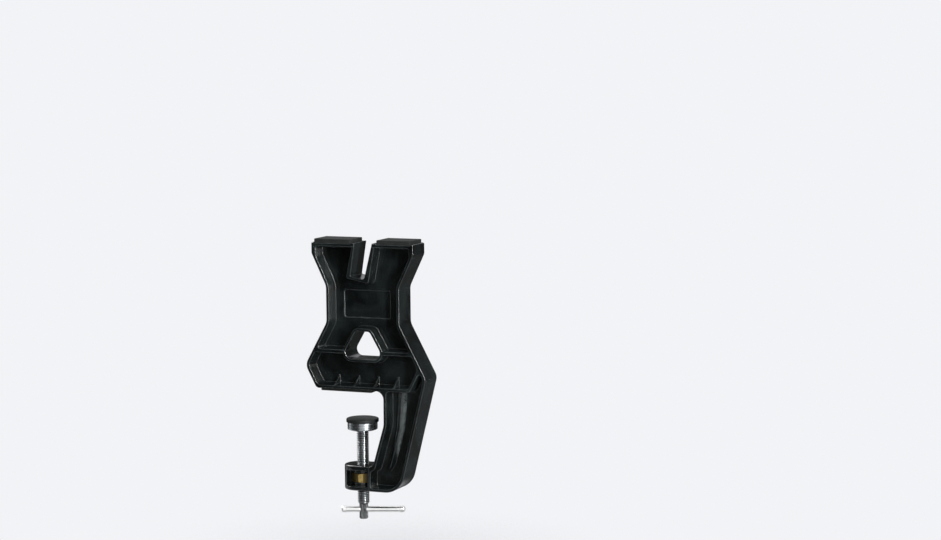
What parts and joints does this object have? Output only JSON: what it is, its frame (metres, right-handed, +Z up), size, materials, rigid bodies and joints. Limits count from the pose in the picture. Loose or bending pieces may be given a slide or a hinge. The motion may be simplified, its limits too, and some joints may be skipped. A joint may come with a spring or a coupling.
{
  "type": "ski tuning vise",
  "caption": "Clamp-on ski vise: ribbed moulded bracket with a slanted ski slot and rubber rests above the bench, and a hand screw with swivel pad below it.",
  "frame": {"origin": "on the screw's axis at the underside of the foot's rubber strip, which is the bench top", "axes": "+Z up along the screw, +X across the broad face towards the clamp's arm, +Y into the depth, away from the face with the bare panel"},
  "size_m": [0.1083, 0.0282, 0.236],
  "materials": {
    "moulding": "satin, fine moulded grain",
    "pad_rubber": "matte",
    "strip_rubber": "matte",
    "yellow_zinc": "yellow passivated zinc",
    "cap_plastic": "satin",
    "plated_cup": "bright zinc plate",
    "plated_screw": "bright zinc plate",
    "black_steel": "black oxide",
    "plated_bar": "bright nickel plate"
  },
  "bodies": {
    "vise": {"bracket": "moulding", "top_pad_left": "pad_rubber", "top_pad_right": "pad_rubber", "foot_strip": "strip_rubber", "clamp_nut": "yellow_zinc"},
    "swivel_pad": {"swivel_cap": "cap_plastic", "swivel_cup": "plated_cup"},
    "screw": {"clamp_screw": "plated_screw", "screw_head": "black_steel"},
    "handle": {"tommy_bar": "plated_bar", "bar_end_left": "plated_bar", "bar_end_right": "plated_bar"}
  },
  "joints": [
    {"name": "screw_feed", "type": "slide", "parent": "vise", "child": "swivel_pad", "axis": [0, 0, 1], "range_m": [-0.0285, 0.0145]},
    {"name": "screw_turn", "type": "hinge", "parent": "swivel_pad", "child": "screw", "pos_m": [0, 0, 0], "axis": [0, 0, 1], "range_deg": [-6845, 3485]},
    {"name": "bar_slide", "type": "slide", "parent": "screw", "child": "handle", "axis": [0.9336, 0.3584, 0], "range_m": [-0.0261, 0.0101]}
  ],
  "couplings": [
    {"joint": "screw_turn", "follows": "screw_feed", "rad_per_m": 4188.8}
  ]
}
